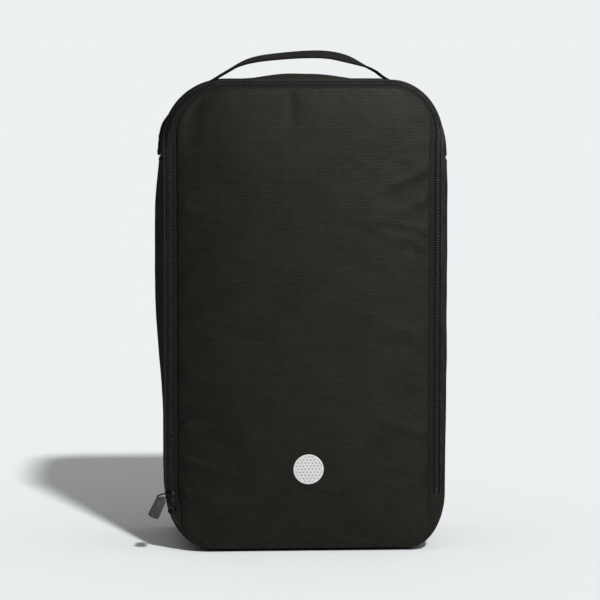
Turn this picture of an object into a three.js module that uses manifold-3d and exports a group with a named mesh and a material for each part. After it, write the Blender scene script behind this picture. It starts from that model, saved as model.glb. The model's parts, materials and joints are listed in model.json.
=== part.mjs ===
// Upright zip-round shoe bag: a padded fabric case with a front flap that
// unzips on three sides, a webbing handle on top and one zip slider.
// Millimetres. +X is the bag's right seen from the front, +Z is up and the
// front faces -Y. The origin is the middle of the base, on the ground.

import * as THREE from 'three';
import { mergeVertices } from 'three/addons/utils/BufferGeometryUtils.js';
import Module from 'manifold-3d';

const wasm = await Module();
wasm.setup();

// ---------------------------------------------------------------- dimensions

const CLEAR = 0.3;                  // gap kept between pieces that touch
const FAR = 500;                    // reach of a cutting box
const ROUND_STEPS = 5;              // straight steps in each rounded corner

const BAG = {
  frontY: -60,                      // plane of the front edge loop
  backY: 62,                        // outer face of the back panel
  bulge: 4.4,                       // how far the walls swell at mid-depth
  sideSeamZ: 297,                   // seam between side and top gussets
  baseHalf: 66,                     // half the width of the base panel
  sideBaseZ: 10,                    // the base panel lies below this height
  boardY: [-50, 52],                // front and back edges of the base board
};

const EDGE = {                      // outline of the front and back edge loops
  halfWidth: 106, bottom: 2, cornerCentreZ: 301, topRadius: 56, bottomRadius: 36, crown: 0,
};
const MIDDLE = {                    // limit of the outline at mid-depth
  halfWidth: 110.4, bottom: -10, cornerCentreZ: 293, topRadius: 64, bottomRadius: 36,
  crown: THREE.MathUtils.degToRad(12),
};

const WALL = {                      // layers as insets from the outer surface
  outer: [0, 1.6],
  foam: [1.9, 4.3],
  lining: [4.6, 5.4],
  frontY: -57.6,
  backY: 58.7,
};

const BACK = {                      // layers of the back panel, front to back
  inset: 5.7,
  panel: [59, 62],
  foam: [55.5, 58.7],
  lining: [54.4, 55.2],
  binding: [52, 54.1],
  bindingWidth: 2.4,
};

const FRONT = {                     // layers of the flap and the foot panel
  inset: 9.5,
  foamInset: 10.8,
  panel: [-64.4, -61.4],
  foam: [-61.1, -58.1],
  lining: [-57.8, -57],
  dome: 4,
  domeRun: 12,
  foldZ: 50,
  footTopZ: 26,
};

const ZIP = {                       // insets of the zip from the edge outline
  facing: [0, 0.8],
  facingY: [-60, -57.9],
  bodyTape: [0.3, 2.3],
  bodyChain: [2.6, 3.9],
  middle: 4.5,
  flapChain: [5.1, 6.4],
  flapTape: [6.7, 10.5],
  tapeY: [-61.1, -60.3],
  chainY: [-62, -60],
  tapeEndZ: 27,
  chainEndZ: 36,
  stop: [30.4, 33],
};

const SLIDER = {
  halfWidth: 3, z: [33.5, 48], frontPlate: [-64, -62.6], backPlate: [-59.2, -58.2],
  web: 0.6, postRadius: 1, postZ: 44.5, headRadius: 1.9, headY: [-67.7, -66.8],
};

const LINK = { y: [-66.5, -64.8], length: 6.2, radius: 2.3, hole: 1.3, tilt: 10 };
const TAB = { width: 8, length: 19, y: [-66.5, -64.8], radius: 1.6, tilt: 16 };

const HANDLE = {
  footX: 65, footZ: 356.6, rise: 22, thickness: 1.8, halfWidth: 11,
  footHalfWidth: 2, fullWidthZ: 369, legWidth: 25, legTopX: 69,
};

const EMBLEM = { radius: 11.4, thickness: 0.7, x: 1.8, z: 64.2 };

// ----------------------------------------------------------------- materials

const FINISH = {
  cloth: { color: 0x24231f, roughness: 0.85, metalness: 0 },
  lining: { color: 0x2c2d30, roughness: 0.7, metalness: 0 },
  foam: { color: 0x4a4b4d, roughness: 0.95, metalness: 0 },
  board: { color: 0x55565a, roughness: 0.6, metalness: 0 },
  tape: { color: 0x1a1a19, roughness: 0.8, metalness: 0 },
  coil: { color: 0x151515, roughness: 0.4, metalness: 0 },
  webbing: { color: 0x1d1c1a, roughness: 0.75, metalness: 0 },
  metal: { color: 0x33343a, roughness: 0.3, metalness: 0.9 },
  rubber: { color: 0x46463f, roughness: 0.6, metalness: 0 },
  print: { color: 0xe4e4e2, roughness: 0.6, metalness: 0 },
};

// ------------------------------------------------------------ solid modelling

function toSolid(geometry) {
  geometry.deleteAttribute('normal');
  geometry.deleteAttribute('uv');
  const merged = mergeVertices(geometry, 1e-4);
  return new wasm.Manifold(new wasm.Mesh({
    numProp: 3,
    vertProperties: new Float32Array(merged.attributes.position.array),
    triVerts: new Uint32Array(merged.index.array),
  }));
}

function toGeometry(solid) {
  const mesh = solid.getMesh();
  const geometry = new THREE.BufferGeometry();
  geometry.setAttribute('position', new THREE.BufferAttribute(mesh.vertProperties, 3));
  geometry.setIndex(new THREE.BufferAttribute(mesh.triVerts, 1));
  geometry.computeVertexNormals();
  return geometry;
}

function block([x0, x1], [y0, y1], [z0, z1]) {
  const geometry = new THREE.BoxGeometry(x1 - x0, y1 - y0, z1 - z0);
  geometry.translate((x0 + x1) / 2, (y0 + y1) / 2, (z0 + z1) / 2);
  return toSolid(geometry);
}

// A shape drawn in X and Z, extruded from yFront to yBack.
function plate(shape, [yFront, yBack], segments = ROUND_STEPS) {
  const geometry = new THREE.ExtrudeGeometry(shape, {
    depth: yBack - yFront, bevelEnabled: false, curveSegments: segments,
  });
  geometry.rotateX(Math.PI / 2);
  geometry.translate(0, yBack, 0);
  return toSolid(geometry);
}

// The outline of the bag, drawn anticlockwise from the lower left corner.
function outline(edge, inset) {
  const bottomRadius = edge.bottomRadius - inset;
  const topRadius = edge.topRadius - inset;
  const bottomX = edge.halfWidth - edge.bottomRadius;
  const bottomZ = edge.bottom + edge.bottomRadius;
  const topX = edge.halfWidth - edge.topRadius;
  const quarter = Math.PI / 2;
  const shape = new THREE.Shape();
  shape.absarc(-bottomX, bottomZ, bottomRadius, -2 * quarter, -quarter, false);
  shape.absarc(bottomX, bottomZ, bottomRadius, -quarter, 0, false);
  shape.absarc(topX, edge.cornerCentreZ, topRadius, 0, quarter - edge.crown, false);
  if (edge.crown > 0) {
    const crownRadius = topX / Math.sin(edge.crown) + edge.topRadius;
    const crownZ = edge.cornerCentreZ - (crownRadius - edge.topRadius) * Math.cos(edge.crown);
    const from = quarter - edge.crown;
    shape.absarc(0, crownZ, crownRadius - inset, from, quarter + edge.crown, false);
  }
  shape.absarc(-topX, edge.cornerCentreZ, topRadius, quarter + edge.crown, 2 * quarter, false);
  shape.closePath();
  return shape;
}

// The space inside the bag's skin at an inset: swollen at mid-depth, flat below.
function swollen(inset) {
  const middleDepth = 1;
  const geometry = new THREE.ExtrudeGeometry(outline(EDGE, inset), {
    depth: middleDepth, curveSegments: ROUND_STEPS, bevelEnabled: true, bevelSegments: 3,
    bevelSize: BAG.bulge, bevelThickness: (BAG.backY - BAG.frontY - middleDepth) / 2,
  });
  geometry.rotateX(Math.PI / 2);
  geometry.translate(0, (BAG.frontY + BAG.backY + middleDepth) / 2, 0);
  const limit = plate(outline(MIDDLE, inset), [-FAR, FAR]);
  const ground = Math.max(inset, 0);
  return toSolid(geometry).intersect(limit).intersect(block([-FAR, FAR], [-FAR, FAR], [ground, FAR]));
}

function wallRing([outerInset, innerInset], depth = [WALL.frontY, WALL.backY]) {
  const ring = swollen(outerInset).subtract(swollen(innerInset));
  return ring.intersect(block([-FAR, FAR], depth, [-FAR, FAR]));
}

// A flat ring of the edge outline between two insets.
function edgeRing([outerInset, innerInset], depth) {
  const through = [depth[0] - 1, depth[1] + 1];
  return plate(outline(EDGE, outerInset), depth).subtract(plate(outline(EDGE, innerInset), through));
}

function above(solid, z) {
  return solid.intersect(block([-FAR, FAR], [-FAR, FAR], [z, FAR]));
}

function below(solid, z) {
  return solid.intersect(block([-FAR, FAR], [-FAR, FAR], [-FAR, z]));
}

// ------------------------------------------------------------------ assembly

const bag = new THREE.Group();

function add(name, solid, finish) {
  const mesh = new THREE.Mesh(toGeometry(solid), new THREE.MeshStandardMaterial(FINISH[finish]));
  mesh.name = name;
  bag.add(mesh);
  return mesh;
}

// -- walls: base panel, two side gussets and the top gusset

const skin = wallRing(WALL.outer);
const seamGap = CLEAR / 2;
const baseZone = block([-BAG.baseHalf, BAG.baseHalf], [-FAR, FAR], [-FAR, BAG.sideBaseZ]);
const leftZone = block([-FAR, -BAG.baseHalf - CLEAR], [-FAR, FAR], [-FAR, BAG.sideSeamZ - seamGap]);
const rightZone = block([BAG.baseHalf + CLEAR, FAR], [-FAR, FAR], [-FAR, BAG.sideSeamZ - seamGap]);
add('base_panel', skin.intersect(baseZone), 'cloth');
add('gusset_left', skin.intersect(leftZone), 'cloth');
add('gusset_right', skin.intersect(rightZone), 'cloth');
add('gusset_top', above(skin, BAG.sideSeamZ + seamGap), 'cloth');

const boardHalf = BAG.baseHalf + 2;
const boardZone = block([-boardHalf - CLEAR, boardHalf + CLEAR], [-FAR, FAR], [-FAR, BAG.sideBaseZ]);
add('gusset_foam', wallRing(WALL.foam).subtract(boardZone), 'foam');
add('base_board', block([-boardHalf, boardHalf], BAG.boardY, WALL.foam), 'board');
add('gusset_lining', wallRing(WALL.lining), 'lining');

// -- back panel

add('back_panel', plate(outline(EDGE, 0), BACK.panel), 'cloth');
const innerSpace = swollen(BACK.inset);
const bindingSpace = swollen(BACK.inset + BACK.bindingWidth);
const binding = innerSpace.subtract(bindingSpace);
add('back_foam', plate(outline(EDGE, BACK.inset), BACK.foam).intersect(innerSpace), 'foam');
add('back_lining', plate(outline(EDGE, BACK.inset), BACK.lining).intersect(innerSpace), 'lining');
add('back_seam_binding', binding.intersect(block([-FAR, FAR], BACK.binding, [-FAR, FAR])), 'tape');

// -- front: one padded panel, fixed below the fold line and a flap above it

function domedPanel(inset) {
  const geometry = new THREE.ExtrudeGeometry(outline(EDGE, inset), {
    depth: 2 * (FRONT.panel[1] - FRONT.panel[0]), curveSegments: ROUND_STEPS, bevelEnabled: true,
    bevelSegments: 3, bevelSize: FRONT.domeRun, bevelOffset: -FRONT.domeRun,
    bevelThickness: FRONT.dome,
  });
  geometry.rotateX(Math.PI / 2);
  geometry.translate(0, 2 * FRONT.panel[1] - FRONT.panel[0], 0);
  return toSolid(geometry).intersect(block([-FAR, FAR], [-FAR, FRONT.panel[1]], [-FAR, FAR]));
}

const fold = [FRONT.foldZ - seamGap, FRONT.foldZ + seamGap];
const panel = domedPanel(FRONT.inset);
const foam = plate(outline(EDGE, FRONT.foamInset), FRONT.foam);
const lining = plate(outline(EDGE, FRONT.inset), FRONT.lining);
const footFlange = below(plate(outline(EDGE, 0), FRONT.panel), FRONT.footTopZ);
const footFoamFlange = below(plate(outline(EDGE, 0), FRONT.foam), FRONT.footTopZ);

add('front_panel', above(panel, fold[1]), 'cloth');
add('front_foam', above(foam, fold[1]), 'foam');
add('front_lining', above(lining, fold[1]), 'lining');
add('front_foot_panel', below(panel, fold[0]).add(footFlange), 'cloth');
add('front_foot_foam', below(foam, fold[0]).add(footFoamFlange), 'foam');
add('front_foot_lining', below(lining, fold[0]).intersect(innerSpace), 'lining');

const emblemY = FRONT.panel[0] - FRONT.dome - CLEAR;
const disc = new THREE.CylinderGeometry(EMBLEM.radius, EMBLEM.radius, EMBLEM.thickness, 36);
disc.translate(EMBLEM.x, emblemY - EMBLEM.thickness / 2, EMBLEM.z);
add('emblem', toSolid(disc), 'print');

// -- zip: two tapes, two coil chains, the fixed ends below the fold and stops

add('zip_facing', above(edgeRing(ZIP.facing, ZIP.facingY), ZIP.tapeEndZ), 'cloth');
add('zip_tape_body', above(edgeRing(ZIP.bodyTape, ZIP.tapeY), ZIP.tapeEndZ), 'tape');
add('zip_chain_body', above(edgeRing(ZIP.bodyChain, ZIP.chainY), ZIP.chainEndZ), 'coil');
add('zip_tape_flap', above(edgeRing(ZIP.flapTape, ZIP.tapeY), fold[1]), 'tape');
add('zip_chain_flap', above(edgeRing(ZIP.flapChain, ZIP.chainY), fold[1]), 'coil');

const endTape = below(above(edgeRing([ZIP.flapChain[0], ZIP.flapTape[1]], ZIP.tapeY), ZIP.tapeEndZ), fold[0]);
const endChain = below(above(edgeRing(ZIP.flapChain, ZIP.chainY), ZIP.chainEndZ), fold[0]);
const zipEnd = endTape.add(endChain);
for (const [side, range] of [['left', [-FAR, 0]], ['right', [0, FAR]]]) {
  add(`zip_end_${side}`, zipEnd.intersect(block(range, [-FAR, FAR], [-FAR, FAR])), 'tape');
}

const zipX = EDGE.halfWidth - ZIP.middle;
const stopGap = [ZIP.middle - 2, ZIP.middle + 2.2];
const stopY = [ZIP.tapeY[0] - 1.6, ZIP.tapeY[0] - CLEAR];
for (const [side, sign] of [['left', -1], ['right', 1]]) {
  const nearX = sign * (EDGE.halfWidth - stopGap[0]);
  const farX = sign * (EDGE.halfWidth - stopGap[1]);
  add(`zip_stop_${side}`, block([Math.min(nearX, farX), Math.max(nearX, farX)], stopY, ZIP.stop), 'metal');
}

// -- slider: two plates joined by a web that runs between the chains

function rodAlongY(x, z, radius, [y0, y1]) {
  const rod = new THREE.CylinderGeometry(radius, radius, y1 - y0, 20);
  rod.translate(x, (y0 + y1) / 2, z);
  return toSolid(rod);
}

const sliderX = [-zipX - SLIDER.halfWidth, -zipX + SLIDER.halfWidth];
const webX = [-zipX - SLIDER.web / 2, -zipX + SLIDER.web / 2];
const slider = block(sliderX, SLIDER.frontPlate, SLIDER.z)
  .add(block(sliderX, SLIDER.backPlate, SLIDER.z))
  .add(block(webX, [SLIDER.frontPlate[1] - 0.2, SLIDER.backPlate[0] + 0.2], SLIDER.z))
  .add(rodAlongY(-zipX, SLIDER.postZ, SLIDER.postRadius, [SLIDER.headY[0] + 0.2, SLIDER.frontPlate[0] + 0.2]))
  .add(rodAlongY(-zipX, SLIDER.postZ, SLIDER.headRadius, SLIDER.headY));
add('slider', slider, 'metal');

// -- pull link: an oval plate that turns on the slider's post

function ovalShape(length, radius, hole) {
  const shape = new THREE.Shape();
  shape.absarc(0, 0, radius, -Math.PI / 2, Math.PI / 2, false);
  shape.absarc(-length, 0, radius, Math.PI / 2, 3 * Math.PI / 2, false);
  shape.closePath();
  const eye = new THREE.Path();
  eye.absarc(0, 0, hole, 0, 2 * Math.PI, true);
  shape.holes.push(eye);
  return shape;
}

const linkPlate = plate(ovalShape(LINK.length, LINK.radius, LINK.hole), LINK.y);
const link = add('pull_link', linkPlate, 'metal');
link.position.set(-zipX, 0, SLIDER.postZ);
link.rotation.y = -THREE.MathUtils.degToRad(LINK.tilt);

// -- pull tab: a soft tab that hangs from the link

function tabShape() {
  const half = TAB.width / 2;
  const r = TAB.radius;
  const shape = new THREE.Shape();
  shape.moveTo(-half + r, 0);
  shape.absarc(-half + r, -r, r, Math.PI / 2, Math.PI, false);
  shape.absarc(-half + r, -TAB.length + r, r, Math.PI, 3 * Math.PI / 2, false);
  shape.absarc(half - r, -TAB.length + r, r, -Math.PI / 2, 0, false);
  shape.absarc(half - r, -r, r, 0, Math.PI / 2, false);
  shape.closePath();
  return shape;
}

const linkTilt = THREE.MathUtils.degToRad(LINK.tilt);
const tab = add('pull_tab', plate(tabShape(), TAB.y, 4), 'rubber');
const tabTop = SLIDER.postZ - LINK.length * Math.sin(linkTilt) - LINK.radius - CLEAR;
tab.position.set(-zipX - LINK.length * Math.cos(linkTilt) - 0.6, 0, tabTop);
tab.rotation.y = THREE.MathUtils.degToRad(TAB.tilt);

// -- handle: a webbing arch and its two ends sewn down the corners

function archShape() {
  const radius = (HANDLE.footX ** 2 + HANDLE.rise ** 2) / (2 * HANDLE.rise);
  const half = Math.asin(HANDLE.footX / radius);
  const centreZ = HANDLE.footZ + HANDLE.rise - radius;
  const shape = new THREE.Shape();
  shape.absarc(0, centreZ, radius, Math.PI / 2 - half, Math.PI / 2 + half, false);
  shape.absarc(0, centreZ, radius - HANDLE.thickness, Math.PI / 2 + half, Math.PI / 2 - half, true);
  shape.closePath();
  return shape;
}

// The strap's width: narrow where it folds at the feet, full on top.
function strapWidthLimit() {
  const low = HANDLE.footZ - 5;
  const top = HANDLE.footZ + HANDLE.rise + 5;
  const shape = new THREE.Shape();
  shape.moveTo(-HANDLE.footHalfWidth, low);
  shape.lineTo(HANDLE.footHalfWidth, low);
  shape.lineTo(HANDLE.footHalfWidth, HANDLE.footZ);
  shape.lineTo(HANDLE.halfWidth, HANDLE.fullWidthZ);
  shape.lineTo(HANDLE.halfWidth, top);
  shape.lineTo(-HANDLE.halfWidth, top);
  shape.lineTo(-HANDLE.halfWidth, HANDLE.fullWidthZ);
  shape.lineTo(-HANDLE.footHalfWidth, HANDLE.footZ);
  shape.closePath();
  const reach = HANDLE.footX + 10;
  return plate(shape, [-reach, reach]).rotate([0, 0, 90]);
}

const arch = plate(archShape(), [-HANDLE.halfWidth, HANDLE.halfWidth], 24);
add('handle_strap', arch.intersect(strapWidthLimit()), 'webbing');

const legHalf = HANDLE.legWidth / 2;
const legRing = wallRing([-2.1, -CLEAR], [-legHalf, legHalf]);
const legZ = [BAG.sideSeamZ, FAR];
add('handle_end_left', legRing.intersect(block([-FAR, -HANDLE.legTopX], [-FAR, FAR], legZ)), 'webbing');
add('handle_end_right', legRing.intersect(block([HANDLE.legTopX, FAR], [-FAR, FAR], legZ)), 'webbing');

export default bag;
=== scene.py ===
"""Upright zip-round shoe bag: the looks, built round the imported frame. Metres, +Z up, front faces -Y."""
import json
import math

import bmesh
import bpy
import numpy as np
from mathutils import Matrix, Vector
from mathutils.bvhtree import BVHTree


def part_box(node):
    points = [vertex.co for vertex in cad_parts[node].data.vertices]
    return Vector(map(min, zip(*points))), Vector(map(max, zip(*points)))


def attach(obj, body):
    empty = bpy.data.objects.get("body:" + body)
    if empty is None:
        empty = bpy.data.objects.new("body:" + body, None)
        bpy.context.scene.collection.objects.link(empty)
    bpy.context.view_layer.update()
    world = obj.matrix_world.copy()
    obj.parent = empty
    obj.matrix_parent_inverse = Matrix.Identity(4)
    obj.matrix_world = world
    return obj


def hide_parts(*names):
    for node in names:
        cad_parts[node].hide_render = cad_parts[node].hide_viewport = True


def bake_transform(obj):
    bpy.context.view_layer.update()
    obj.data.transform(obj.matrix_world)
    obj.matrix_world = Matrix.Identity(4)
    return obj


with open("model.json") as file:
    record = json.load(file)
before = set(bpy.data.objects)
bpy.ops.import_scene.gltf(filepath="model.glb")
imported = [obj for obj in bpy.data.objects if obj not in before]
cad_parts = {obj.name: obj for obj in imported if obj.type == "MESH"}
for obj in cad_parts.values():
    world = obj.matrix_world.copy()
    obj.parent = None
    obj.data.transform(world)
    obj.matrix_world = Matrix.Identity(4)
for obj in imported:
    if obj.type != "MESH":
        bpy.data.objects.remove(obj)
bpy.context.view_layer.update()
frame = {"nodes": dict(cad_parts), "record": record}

MM = 0.001

# ---- driving dimensions

BACK_LOW, BACK_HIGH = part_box("back_panel")
HALF_WIDTH = BACK_HIGH.x               # edge outline
BOTTOM_Z, TOP_Z = BACK_LOW.z, BACK_HIGH.z
FRONT_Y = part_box("zip_tape_body")[0].y  # front face of the zip tape
BACK_Y = BACK_LOW.y                    # where the gusset meets the back panel
EDGE_TOP = TOP_Z - 2.5 * MM            # the cloth edge sits a little under the CAD edge
TOP_RIGHT_CORNER = (42 * MM, 53 * MM)  # corner sizes, across and up
TOP_LEFT_CORNER = (50 * MM, 50 * MM)
RIGHT_CORNER = (27 * MM, 42 * MM)
LEFT_CORNER = (36 * MM, 49 * MM)
CORNER_STEPS = 60                      # points round each corner
CHAIN_INSET = 4.5 * MM                 # middle of the zip chain on the left side, in from the edge outline
CHAIN_INSET_TOP = 1.5 * MM
PANEL_INSET = 10.2 * MM                # seam of the front panel on the left side
RIGHT_SHIFT = 2.2 * MM                 # chain and seam lie this much further in on the right side
TOP_SHIFT = 5.2 * MM                   # the seam lies this much nearer the edge round the top
BACK_SHIFT = 2.2 * MM                  # the same for the back panel
TOP_BAND = (0.300, 0.346)              # heights over which a side passes into the top
TURN_BAND = (0.2995, 0.334)            # heights over which the chain turns towards the edge
ZIP_TURN = math.radians(52)            # how far the chain faces the edge round the top
ZIP_END_Z = 33.2 * MM                  # lower ends of the coil
TAPE_END_RIGHT, TAPE_END_LEFT = 29 * MM, 27 * MM
COIL_PITCH = 1.78 * MM
ZIP_RUN_OUT = (6 * MM, 34 * MM)         # heights over which a panel's edge leaves the zip
CORD_OUT, CORD_RISE, CORD_RADIUS = 1.85 * MM, 0.62 * MM, 0.24 * MM  # sewing over the coil
STITCH_PITCH, STITCH_LENGTH, STITCH_RADIUS = 2.9 * MM, 2.1 * MM, 0.17 * MM
STITCH_SIZES = (0.6, 1.0, 1.05, 1.0, 0.6)  # thickness along one stitch
SHEET_THICK = 0.5 * MM                 # tapes and linings
FACING_THICK = 0.6 * MM
FOLD_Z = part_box("front_panel")[0].z    # where the flap folds
SEAM_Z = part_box("gusset_top")[0].z     # seam between side and top gussets
BASE_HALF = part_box("base_panel")[1].x
WALL = 4.3 * MM                        # thickness of a padded wall
STRAP_WIDE, STRAP_THICK = 25 * MM, 1.7 * MM
FRONT = np.array([0.0, -1.0, 0.0])
BACKGROUND = (0.830, 0.8625, 0.8695)
SKY_LEVEL, SKY_UP, SKY_SIDE, SKY_LEAST = 0.098, 0.40, 0.13, 0.02  # its light, and how it grows up and to the right
CAMERA_PLACE = (-0.127, FRONT_Y - 2.2, 0.40)
CAMERA_DOWN, CAMERA_TURN = math.radians(5.42), math.radians(-3.2)


def smooth(edge0, edge1, x):
    t = np.clip((np.asarray(x, float) - edge0) / (edge1 - edge0), 0, 1)
    return t * t * (3 - 2 * t)


def wobble(x, y, size, seed):
    """Smooth seeded noise from -1 to 1 over a plane; size is the length of one lump."""
    rng = np.random.RandomState(seed)
    table = rng.uniform(-1, 1, (64, 64))
    u = np.asarray(x, float) / size + 17.3
    v = np.asarray(y, float) / size + 29.1
    i, j = np.floor(u).astype(int), np.floor(v).astype(int)
    fu, fv = u - i, v - j
    fu, fv = fu * fu * (3 - 2 * fu), fv * fv * (3 - 2 * fv)
    a, b = table[i % 64, j % 64], table[(i + 1) % 64, j % 64]
    c, d = table[i % 64, (j + 1) % 64], table[(i + 1) % 64, (j + 1) % 64]
    return (a * (1 - fu) + b * fu) * (1 - fv) + (c * (1 - fu) + d * fu) * fv


# ---- the edge outline

def trace_outline():
    """The edge outline from the middle of the bottom, anticlockwise seen from the front: x, z and outward normal."""
    corners = [(1, -1, RIGHT_CORNER), (1, 1, TOP_RIGHT_CORNER), (-1, 1, TOP_LEFT_CORNER), (-1, -1, LEFT_CORNER)]
    rows = [(0, BOTTOM_Z, 0, -1)]
    for side, up, (across, height) in corners:
        x = side * (HALF_WIDTH - across)
        z = EDGE_TOP - height if up > 0 else BOTTOM_Z + height
        start = {(1, -1): -90, (1, 1): 0, (-1, 1): 90, (-1, -1): 180}[(side, up)]
        for angle in np.radians(np.linspace(start, start + 90, CORNER_STEPS)):
            c, s = math.cos(angle), math.sin(angle)
            slope = math.hypot(c / across, s / height)
            rows.append((x + across * c, z + height * s, c / across / slope, s / height / slope))
    rows.append((0, BOTTOM_Z, 0, -1))
    rows = np.array(rows)
    steps = np.hypot(np.diff(rows[:, 0]), np.diff(rows[:, 1]))
    return np.concatenate([[0], np.cumsum(steps)]), rows


LOOP_S, LOOP_ROWS = trace_outline()
LOOP_LENGTH = LOOP_S[-1]
RIGHT_RUN = slice(1, 1 + 2 * CORNER_STEPS)
LEFT_RUN = slice(1 + 2 * CORNER_STEPS, 1 + 4 * CORNER_STEPS)


def loop_at(s):
    """Place (x, z) and outward normal of the edge outline at distance s along it."""
    s = np.mod(np.asarray(s, float), LOOP_LENGTH)
    cols = [np.interp(s, LOOP_S, LOOP_ROWS[:, k]) for k in range(4)]
    normal = np.stack(cols[2:], -1)
    normal /= np.linalg.norm(normal, axis=-1, keepdims=True)
    return np.stack(cols[:2], -1), normal


def side_s(side, z):
    """Distance along the outline of the side (-1 left, +1 right) at height z."""
    if side > 0:
        return float(np.interp(z, LOOP_ROWS[RIGHT_RUN, 1], LOOP_S[RIGHT_RUN]))
    return float(np.interp(z, LOOP_ROWS[LEFT_RUN, 1][::-1], LOOP_S[LEFT_RUN][::-1]))


def over_top(s):
    """0 on the sides and 1 round the top, where the zip turns towards the edge."""
    return smooth(*TOP_BAND, loop_at(s)[0][..., 1])


def zip_turned(s):
    """0 where the chain faces the front and 1 where it has turned towards the edge."""
    return smooth(*TURN_BAND, loop_at(s)[0][..., 1])


def right_share(s):
    """1 along the right side, 0 elsewhere."""
    return smooth(0.07, 0.10, loop_at(s)[0][..., 0]) * (1 - over_top(s))


def top_shift(s):
    """How much nearer the edge the front panel's seam lies at distance s."""
    return TOP_SHIFT * over_top(s) - RIGHT_SHIFT * right_share(s)


def chain_inset(s):
    over = zip_turned(s)
    return CHAIN_INSET * (1 - over) + CHAIN_INSET_TOP * over + RIGHT_SHIFT * right_share(s)


def loop_point(s, inset, y):
    """Points of the outline at distance s, moved in by inset, at depth y."""
    place, normal = loop_at(s)
    flat = place - normal * np.asarray(inset, float)[..., None]
    y = np.broadcast_to(np.asarray(y, float), flat[..., 0].shape)
    return np.stack([flat[..., 0], y, flat[..., 1]], -1)


# ---- mesh building

def new_object(name, verts, faces, uv=None):
    mesh = bpy.data.meshes.new(name)
    mesh.from_pydata([tuple(v) for v in verts], [], [tuple(f) for f in faces])
    if uv is not None:
        layer = mesh.uv_layers.new(name="weave")
        index = np.zeros(len(mesh.loops), int)
        mesh.loops.foreach_get("vertex_index", index)
        layer.data.foreach_set("uv", np.asarray(uv, np.float32)[index].ravel())
    obj = bpy.data.objects.new(name, mesh)
    bpy.context.scene.collection.objects.link(obj)
    bm = bmesh.new()
    bm.from_mesh(mesh)
    bmesh.ops.recalc_face_normals(bm, faces=bm.faces)
    bm.to_mesh(mesh)
    bm.free()
    mesh.shade_smooth()
    return obj


def grid_faces(rows, cols, wrap=False, start=0, flip=False):
    faces = []
    for r in range(rows - 1):
        a, b = start + r * cols, start + (r + 1) * cols
        for c in range(cols if wrap else cols - 1):
            d = (c + 1) % cols
            quad = [a + c, a + d, b + d, b + c]
            faces.append(quad[::-1] if flip else quad)
    return faces


def shell(name, outer, inner, uv, wrap=False):
    """A closed skin: an outer and an inner grid of points with their borders joined. wrap joins the columns' ends."""
    rows, cols = outer.shape[:2]
    count = rows * cols
    faces = grid_faces(rows, cols, wrap) + grid_faces(rows, cols, wrap, count, True)
    first, last = list(range(cols)), list(range(count - cols, count))
    if wrap:
        borders = [first + first[:1], last + last[:1]]
    else:
        right = [r * cols + cols - 1 for r in range(1, rows - 1)]
        left = [r * cols for r in range(rows - 2, -1, -1)]
        borders = [first + right + last[::-1] + left]
    for line in borders:
        faces += [[a, a + count, b + count, b] for a, b in zip(line[:-1], line[1:])]
    verts = np.concatenate([outer.reshape(-1, 3), inner.reshape(-1, 3)])
    flat_uv = np.asarray(uv, float).reshape(-1, 2)
    return new_object(name, verts, faces, np.concatenate([flat_uv, flat_uv]))


def ribbon(name, rows, wrap=False):
    """A shell from its rows of (outer points, inner points, uv)."""
    return shell(name, *(np.array(part) for part in zip(*rows)), wrap)


def uv_row(s, v):
    return np.stack(np.broadcast_arrays(s, v), -1)


def plane_uv(points):
    return np.stack([points[..., 0], points[..., 2]], -1)


class Build:
    """Collects lofted parts into one mesh."""

    def __init__(self):
        self.verts, self.faces = [], []

    def rings(self, rings, closed=False):
        start, m, n = len(self.verts), len(rings[0]), len(rings)
        for ring in rings:
            self.verts.extend(ring)
        self.faces += grid_faces(n, m, True, start)
        last = start + (n - 1) * m
        if closed:
            self.faces += [[last + j, last + (j + 1) % m, start + (j + 1) % m, start + j] for j in range(m)]
        else:
            self.faces += [[start + j for j in range(m)][::-1], [last + j for j in range(m)]]

    def plate(self, outline, y0, y1, edge):
        """A flat part from its (x, z) outline, with rounded rims; depths and rim are in mm."""
        centre = outline.mean(0)
        size = np.abs(outline - centre).max()
        near, far = ((1, 0), (0.3, 0.3), (0, 1)), ((0, -1), (0.3, -0.3), (1, 0))
        rings = []
        for rims, y in ((near, y0), (far, y1)):
            for share, step in rims:
                flat = centre + (outline - centre) * (1 - share * edge * MM / size)
                rings.append(np.insert(flat, 1, (y + step * edge) * MM, axis=1))
        self.rings(rings)

    def tube(self, points, radius, count=10, closed=False):
        points = np.asarray(points, float)
        tangent = np.roll(points, -1, 0) - np.roll(points, 1, 0) if closed else np.gradient(points, axis=0)
        tangent /= np.linalg.norm(tangent, axis=1, keepdims=True)
        side = np.cross(tangent[0], (0.3, 1, 0.2))
        angle = np.linspace(0, 2 * math.pi, count, endpoint=False)
        rings = []
        for p, t, r in zip(points, tangent, np.broadcast_to(radius, len(points))):
            side = side - t * side.dot(t)
            side /= np.linalg.norm(side)
            rings.append(p + r * (np.cos(angle)[:, None] * side + np.sin(angle)[:, None] * np.cross(t, side)))
        self.rings(rings, closed)

    def turned(self, centre, profile, count=24):
        """A part turned round the Y direction; profile is a list of (radius, y) in mm."""
        angle = np.linspace(0, 2 * math.pi, count, endpoint=False)
        self.rings([np.stack([centre.x + r * MM * np.cos(angle), np.full(count, y * MM),
                              centre.z + r * MM * np.sin(angle)], -1) for r, y in profile])

    def done(self, name):
        return new_object(name, self.verts, self.faces)


def sweep(paths, section, name):
    """One mesh of many tubes. paths is a list of (points, side, up, scale) with a section of (across, up) points."""
    part = Build()
    for path in paths:
        part.rings([[p + (a * sx + b * sy) * k for sx, sy in section] for p, a, b, k in zip(*path)])
    return part.done(name)


def circle(radius, count=8, squeeze=1.0):
    angles = np.linspace(0, 2 * math.pi, count, endpoint=False)
    return [(radius * math.cos(a), radius * squeeze * math.sin(a)) for a in angles]


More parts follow.
